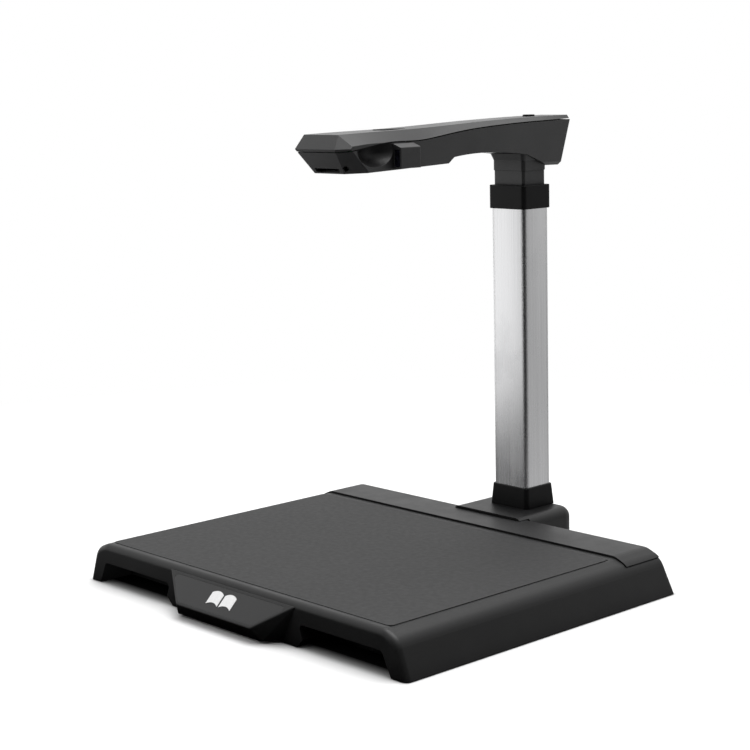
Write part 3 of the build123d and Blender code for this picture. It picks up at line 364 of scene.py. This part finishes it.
SLOT_MATERIALS = {
    "black_shell": moulded(
        "base_plastic", BASE_BLACK, rough=0.44, spec=0.42, grain=1500.0,
        depth=0.020 * MM, wear=0.12, bevel=0.5 * MM,
    ),
    "arm_shell": moulded(
        "arm_plastic", ARM_BLACK, rough=0.36, spec=0.45, grain=1800.0,
        depth=0.014 * MM, wear=0.12, bevel=0.4 * MM,
    ),
    "black_trim": moulded(
        "trim_plastic", TRIM_BLACK, rough=0.46, spec=0.16, grain=2000.0,
        depth=0.016 * MM, wear=0.1, bevel=0.4 * MM,
    ),
    "badge": moulded(
        "badge_plastic", BADGE_BLACK, rough=0.34, spec=0.5, grain=2400.0,
        depth=0.004 * MM, wear=0.1, bevel=0.25 * MM,
    ),
    "emblem": painted_mark("emblem_print", (0.80, 0.80, 0.80)),
    "bed": soft_rubber("bed_rubber", (0.008, 0.008, 0.0083), rough=0.66, grain=1100.0, depth=0.04 * MM),
    "foot_rubber": soft_rubber("foot_rubber_black", (0.010, 0.010, 0.010)),
    "column_metal": brushed_aluminium("column_aluminium", (0.80, 0.80, 0.81)),
    "steel": plated_steel("zinc_steel", (0.55, 0.55, 0.56)),
    "screw_steel": plated_steel("black_steel", (0.12, 0.12, 0.125), rough=0.38),
    "circuit_board": circuit_laminate("circuit_green"),
    "chip": moulded(
        "chip_resin", CHIP_BLACK, rough=0.5, spec=0.3, grain=2600.0,
        depth=0.01 * MM, wear=0.0, bevel=0.1 * MM,
    ),
    "nylon": moulded(
        "natural_nylon", NYLON_WHITE, rough=0.5, spec=0.4, grain=1600.0,
        depth=0.01 * MM, wear=0.0, bevel=0.2 * MM,
    ),
    "cable_jacket": soft_rubber("cable_rubber", CABLE_BLACK, rough=0.55, grain=1600.0, depth=0.02 * MM),
    "clear": clear_glass("clear_window", (0.93, 0.95, 1.0)),
    "dark_glass": clear_glass("dark_window", (0.004, 0.004, 0.006), rough=0.04, body=1.0),
    "lamp": lamp_body("lamp_ceramic"),
    "lens_body": plated_steel("lens_black", (0.03, 0.03, 0.032), rough=0.35),
}


def dress_cad_nodes():
    """Give every CAD node the material of its slot, and smooth shading across its rounded edges."""
    slots = {part["node"]: part["material_slot"] for part in frame["record"]["subparts"]}
    for name, node in NODES.items():
        node.data.materials.clear()
        node.data.materials.append(SLOT_MATERIALS[slots[name]])
        node.data.polygons.foreach_set("use_smooth", [True] * len(node.data.polygons))
        node.data.set_sharp_from_angle(angle=SMOOTH_ANGLE)


# ---------------------------------------------------------------- stage
def camera():
    """Camera at the reference viewing angle, with its slight roll."""
    azimuth, pitch, roll = CAMERA_AZIMUTH, CAMERA_PITCH, CAMERA_ROLL
    flat = Vector((-math.sin(azimuth), math.cos(azimuth), 0.0))
    forward = flat * math.cos(pitch) - Vector((0, 0, math.sin(pitch)))
    level = Vector((math.cos(azimuth), math.sin(azimuth), 0.0))
    upward = level.cross(forward)
    right = level * math.cos(roll) + upward * math.sin(roll)
    up = upward * math.cos(roll) - level * math.sin(roll)
    data = bpy.data.cameras.new("camera")
    data.lens = CAMERA_LENS
    data.sensor_width = SENSOR
    data.clip_end = 50.0
    holder = bpy.data.objects.new("camera", data)
    bpy.context.scene.collection.objects.link(holder)
    pose = Matrix((right, up, -forward)).transposed().to_4x4()
    pose.translation = Vector(CAMERA_AT)
    holder.matrix_world = pose
    bpy.context.scene.camera = holder


def surround_level(s, direction, left, right):
    """Studio brightness by direction: dark around the camera, from the left level to the right one."""
    facing = s.dot(direction, Vector((CAMERA_AT[0], CAMERA_AT[1], 0)).normalized())
    around = s.ramp(s.span(facing, -1.0, 1.0), AROUND)
    side = s.dot(direction, Vector((-CAMERA_AT[1], CAMERA_AT[0], 0)).normalized())
    share = s.span(side, 0.1, 0.9)
    change = s.math("MULTIPLY", share, s.math("SUBTRACT", right, left))
    return s.math("MULTIPLY", around, s.math("ADD", left, change))


def floor_levels(s, distance, levels):
    """Level from (metres, level) pairs."""
    stops = [(reach / FLOOR_HALF, level) for reach, level in levels]
    return s.ramp(s.span(distance, 0.0, FLOOR_HALF), stops)


def painted_under_shadow(s):
    """Painted shadow: 0 on the floor under the base, where no studio light gets to, rising to 1 around it.
    """
    low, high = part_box("base_bottom_cover")
    split = s.add("ShaderNodeSeparateXYZ")
    s.link(s.coords, split.inputs[0])
    away = []
    for axis in (0, 1):
        middle = (low[axis] + high[axis]) / 2
        half = (high[axis] - low[axis]) / 2
        offset = s.math("ABSOLUTE", s.math("SUBTRACT", split.outputs[axis], middle))
        away.append(s.math("SUBTRACT", offset, half))
    return s.span(s.math("MAXIMUM", *away), SHADE_IN, SHADE_OUT)


def floor():
    """Pale floor with a painted shadow under the base, fading into the white background; glossy surfaces
    see a studio floor in it.
    """
    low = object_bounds()[0][2] - FLOOR_GAP
    mesh = bpy.data.meshes.new("floor")
    corners = [(-1, -1), (1, -1), (1, 1), (-1, 1)]
    mesh.from_pydata([(x * FLOOR_HALF, y * FLOOR_HALF, low) for x, y in corners], [], [(0, 1, 2, 3)])
    plane = bpy.data.objects.new("floor", mesh)
    bpy.context.scene.collection.objects.link(plane)
    s = Shader("floor_paper")
    fibre = s.span(s.noise(60.0, 4.0), 0.3, 0.7)
    pale = s.mix(fibre, (0.85, 0.85, 0.85), (0.87, 0.87, 0.87))
    # painted shadow: the floor's colour goes dark under the base
    s.set(s.bsdf, Base_Color=s.mix(painted_under_shadow(s), (0.01, 0.01, 0.01), pale))
    s.set(s.bsdf, Roughness=0.9, Specular_IOR_Level=0.0)
    distance = s.length(s.coords)
    path = s.add("ShaderNodeLightPath")
    fade = s.math("MULTIPLY", s.span(distance, FADE_FROM, FADE_TO), path.outputs["Is Camera Ray"])
    white = s.add("ShaderNodeEmission")
    seen = s.mix_shader(fade, s.bsdf.outputs[0], white.outputs[0])
    left = floor_levels(s, distance, LEFT_FLOOR)
    right = floor_levels(s, distance, RIGHT_FLOOR)
    level = surround_level(s, s.unit(s.coords), left, right)
    mirrored = s.add("ShaderNodeEmission")
    s.link(level, mirrored.inputs["Strength"])
    final = s.mix_shader(path.outputs["Is Glossy Ray"], seen, mirrored.outputs[0])
    s.link(final, s.out.inputs["Surface"])
    mesh.materials.append(s.material)
    plane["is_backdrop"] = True


def world():
    """White backdrop for the camera; the studio around it for everything else."""
    new = bpy.data.worlds.new("studio")
    bpy.context.scene.world = new
    new.use_nodes = True
    s = Shader.on_tree(new.node_tree)
    out = s.add("ShaderNodeOutputWorld")
    direction = s.add("ShaderNodeTexCoord").outputs["Generated"]
    split = s.add("ShaderNodeSeparateXYZ")
    s.link(direction, split.inputs[0])
    high = s.span(split.outputs["Z"], CEILING_FROM, CEILING_TO)
    level = surround_level(s, direction, 1.0, RIGHT_DIM)
    level = s.math("ADD", s.math("MULTIPLY", level, s.math("SUBTRACT", 1.0, high)), high)
    studio = s.add("ShaderNodeBackground")
    s.link(level, studio.inputs["Strength"])
    studio.inputs["Color"].default_value = (1, 1, 1, 1)
    white = s.add("ShaderNodeBackground")
    white.inputs["Color"].default_value = (1, 1, 1, 1)
    path = s.add("ShaderNodeLightPath")
    final = s.mix_shader(path.outputs["Is Camera Ray"], studio.outputs[0], white.outputs[0])
    s.link(final, out.inputs[0])


def overhead_lamp():
    """One large soft lamp above and behind the object."""
    data = bpy.data.lights.new("overhead", "AREA")
    data.shape = "RECTANGLE"
    data.size = LAMP_SIDE
    data.size_y = LAMP_SIDE
    data.energy = LAMP_POWER
    holder = bpy.data.objects.new("overhead", data)
    holder.location = LAMP_AT
    aim = Vector(LAMP_AIM) - Vector(LAMP_AT)
    holder.rotation_euler = aim.to_track_quat("-Z", "Y").to_euler()
    bpy.context.scene.collection.objects.link(holder)


dress_cad_nodes()
camera()
floor()
world()
overhead_lamp()
bpy.context.scene.view_settings.view_transform = "Standard"
